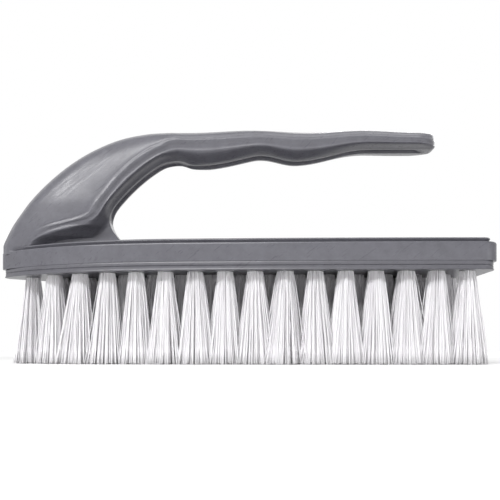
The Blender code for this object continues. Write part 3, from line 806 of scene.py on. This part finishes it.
class Nodes:
    """Short calls for building one material's nodes."""

    def __init__(self, name):
        self.material = bpy.data.materials.new(name)
        self.material.use_nodes = True
        self.tree = self.material.node_tree
        self.shader = self.tree.nodes["Principled BSDF"]

    def add(self, kind, **settings):
        node = self.tree.nodes.new(kind)
        for key, value in settings.items():
            if hasattr(node, key):
                setattr(node, key, value)
            else:
                node.inputs[key].default_value = value
        return node

    def link(self, output, target):
        self.tree.links.new(output, target)

    def noise(self, coordinates, scale, detail, roughness, stretch=(1.0, 1.0, 1.0)):
        place = self.add("ShaderNodeMapping", Scale=stretch)
        self.link(coordinates, place.inputs["Vector"])
        texture = self.add("ShaderNodeTexNoise", Scale=scale, Detail=detail, Roughness=roughness)
        self.link(place.outputs["Vector"], texture.inputs["Vector"])
        return texture.outputs["Fac"]

    def ramp(self, value, stops):
        node = self.add("ShaderNodeValToRGB")
        elements = node.color_ramp.elements
        while len(elements) < len(stops):
            elements.new(0.5)
        for element, (position, colour) in zip(elements, stops):
            element.position = position
            element.color = (*colour, 1.0)
        self.link(value, node.inputs["Fac"])
        return node.outputs["Color"]

    def bump(self, height, distance, normal=None):
        node = self.add("ShaderNodeBump", Strength=BUMP_STRENGTH, Distance=distance)
        self.link(height, node.inputs["Height"])
        if normal is not None:
            self.link(normal, node.inputs["Normal"])
        return node.outputs["Normal"]


def plastic_material(name, greys):
    """Satin moulded plastic, slightly cloudy, with faint slanting scuffs and a fine pebble."""
    nodes = Nodes(name)
    coordinates = nodes.add("ShaderNodeTexCoord").outputs["Object"]
    cloud = nodes.noise(coordinates, *CLOUD_NOISE)
    nodes.link(nodes.ramp(cloud, list(zip(CLOUD_RANGE, greys))), nodes.shader.inputs["Base Color"])
    turned = nodes.add("ShaderNodeMapping", Rotation=(0.0, SCUFF_SLANT, 0.0))
    nodes.link(coordinates, turned.inputs["Vector"])
    scuffs = nodes.noise(turned.outputs["Vector"], *SCUFF_NOISE, stretch=SCUFF_STRETCH)
    roughness = [(place, (value,) * 3) for place, value in zip(SCUFF_RANGE, SCUFF_ROUGHNESS)]
    nodes.link(nodes.ramp(scuffs, roughness), nodes.shader.inputs["Roughness"])
    pebble = nodes.noise(coordinates, *PEBBLE_NOISE)
    fine = nodes.bump(pebble, PEBBLE_DEPTH)
    nodes.link(nodes.bump(scuffs, SCUFF_DEPTH, normal=fine), nodes.shader.inputs["Normal"])
    nodes.shader.inputs["Specular IOR Level"].default_value = PLASTIC_SPECULAR
    return nodes.material


def filament_material():
    """White nylon filament; each has its own tone."""
    nodes = Nodes("White filament")
    tone = nodes.add("ShaderNodeAttribute", attribute_name="tone").outputs["Fac"]
    nodes.link(nodes.ramp(tone, FILAMENT_TONES), nodes.shader.inputs["Base Color"])
    nodes.shader.inputs["Roughness"].default_value = FILAMENT_ROUGHNESS
    nodes.shader.inputs["Specular IOR Level"].default_value = FILAMENT_SPECULAR
    nodes.shader.inputs["Subsurface Weight"].default_value = FILAMENT_SCATTER
    nodes.shader.inputs["Subsurface Radius"].default_value = (1.0, 1.0, 1.0)
    nodes.shader.inputs["Subsurface Scale"].default_value = FILAMENT_SCATTER_DEPTH
    return nodes.material


# Stage

def white_where_seen(tree, plain, white):
    """A mix that shows white to the camera and in reflections, and plain to the light."""
    path = tree.nodes.new("ShaderNodeLightPath")
    seen = path.outputs["Is Camera Ray"]
    for name in ("Is Glossy Ray", "Is Transmission Ray"):
        either = tree.nodes.new("ShaderNodeMath")
        either.operation = "MAXIMUM"
        tree.links.new(seen, either.inputs[0])
        tree.links.new(path.outputs[name], either.inputs[1])
        seen = either.outputs[0]
    mix = tree.nodes.new("ShaderNodeMixShader")
    tree.links.new(seen, mix.inputs[0])
    tree.links.new(plain, mix.inputs[1])
    tree.links.new(white, mix.inputs[2])
    return mix.outputs[0]


def build_world():
    """White where the camera or a reflection sees it, and dim as a light."""
    world = bpy.data.worlds.new("Studio")
    bpy.context.scene.world = world
    world.use_nodes = True
    tree = world.node_tree
    plain = tree.nodes["Background"]
    plain.inputs["Color"].default_value = WHITE
    plain.inputs["Strength"].default_value = WORLD_LIGHT
    white = tree.nodes.new("ShaderNodeBackground")
    white.inputs["Color"].default_value = WHITE
    white.inputs["Strength"].default_value = WORLD_SEEN
    out = tree.nodes["World Output"]
    tree.links.new(white_where_seen(tree, plain.outputs[0], white.outputs[0]), out.inputs["Surface"])


def build_floor():
    """A pale floor that takes the shadow; the camera and reflections also see its glow, stronger far out."""
    bm = bmesh.new()
    bmesh.ops.create_grid(bm, x_segments=FLOOR_CELLS, y_segments=FLOOR_CELLS, size=FLOOR_HALF_SIZE)
    floor = scratch_object("floor", bm)
    nodes = Nodes("White floor")
    nodes.shader.inputs["Base Color"].default_value = FLOOR_GREY
    nodes.shader.inputs["Roughness"].default_value = FLOOR_ROUGHNESS
    nodes.shader.inputs["Specular IOR Level"].default_value = 0.0
    glow = nodes.add("ShaderNodeEmission")
    away = nodes.add("ShaderNodeVectorMath", operation="LENGTH")
    nodes.link(nodes.add("ShaderNodeTexCoord").outputs["Object"], away.inputs[0])
    strength = nodes.add("ShaderNodeMapRange")
    for way, ends in (("From", GLOW_DISTANCE), ("To", GLOW_STRENGTH)):
        strength.inputs[f"{way} Min"].default_value, strength.inputs[f"{way} Max"].default_value = ends
    nodes.link(away.outputs["Value"], strength.inputs["Value"])
    nodes.link(strength.outputs["Result"], glow.inputs["Strength"])
    both = nodes.add("ShaderNodeAddShader")
    nodes.link(nodes.shader.outputs[0], both.inputs[0])
    nodes.link(glow.outputs[0], both.inputs[1])
    out = nodes.tree.nodes["Material Output"]
    nodes.link(white_where_seen(nodes.tree, nodes.shader.outputs[0], both.outputs[0]), out.inputs["Surface"])
    floor.data.materials.append(nodes.material)


def add_softbox(name, place, target, size, power):
    """A rectangular lamp at a place, aimed at a target."""
    light = bpy.data.lights.new(name, "AREA")
    light.shape = "RECTANGLE"
    light.size, light.size_y = size
    light.energy = power
    obj = bpy.data.objects.new(name, light)
    bpy.context.scene.collection.objects.link(obj)
    obj.location = place
    obj.rotation_euler = (Vector(target) - Vector(place)).to_track_quat("-Z", "Y").to_euler()


def build_camera():
    """A level camera that looks along +Y."""
    camera = bpy.data.cameras.new("Camera")
    camera.lens = CAMERA_LENS
    camera.sensor_width = CAMERA_SENSOR
    camera.shift_y = CAMERA_SHIFT_Y
    camera.clip_start = CAMERA_CLIP_START
    obj = bpy.data.objects.new("Camera", camera)
    obj.location = CAMERA_PLACE
    obj.rotation_euler = (math.pi / 2, 0.0, 0.0)
    bpy.context.scene.collection.objects.link(obj)
    bpy.context.scene.camera = obj


def main():
    bpy.context.scene.view_settings.view_transform = "Standard"
    build_camera()
    build_world()
    build_floor()
    for softbox in SOFTBOXES:
        add_softbox(*softbox)
    rows = tuft_rows()
    build_moulding(plastic_material("Grey plastic", MOULDING_GREYS))
    build_block(rows, plastic_material("Grey block plastic", BLOCK_GREYS))
    build_bristles(rows, filament_material())


main()
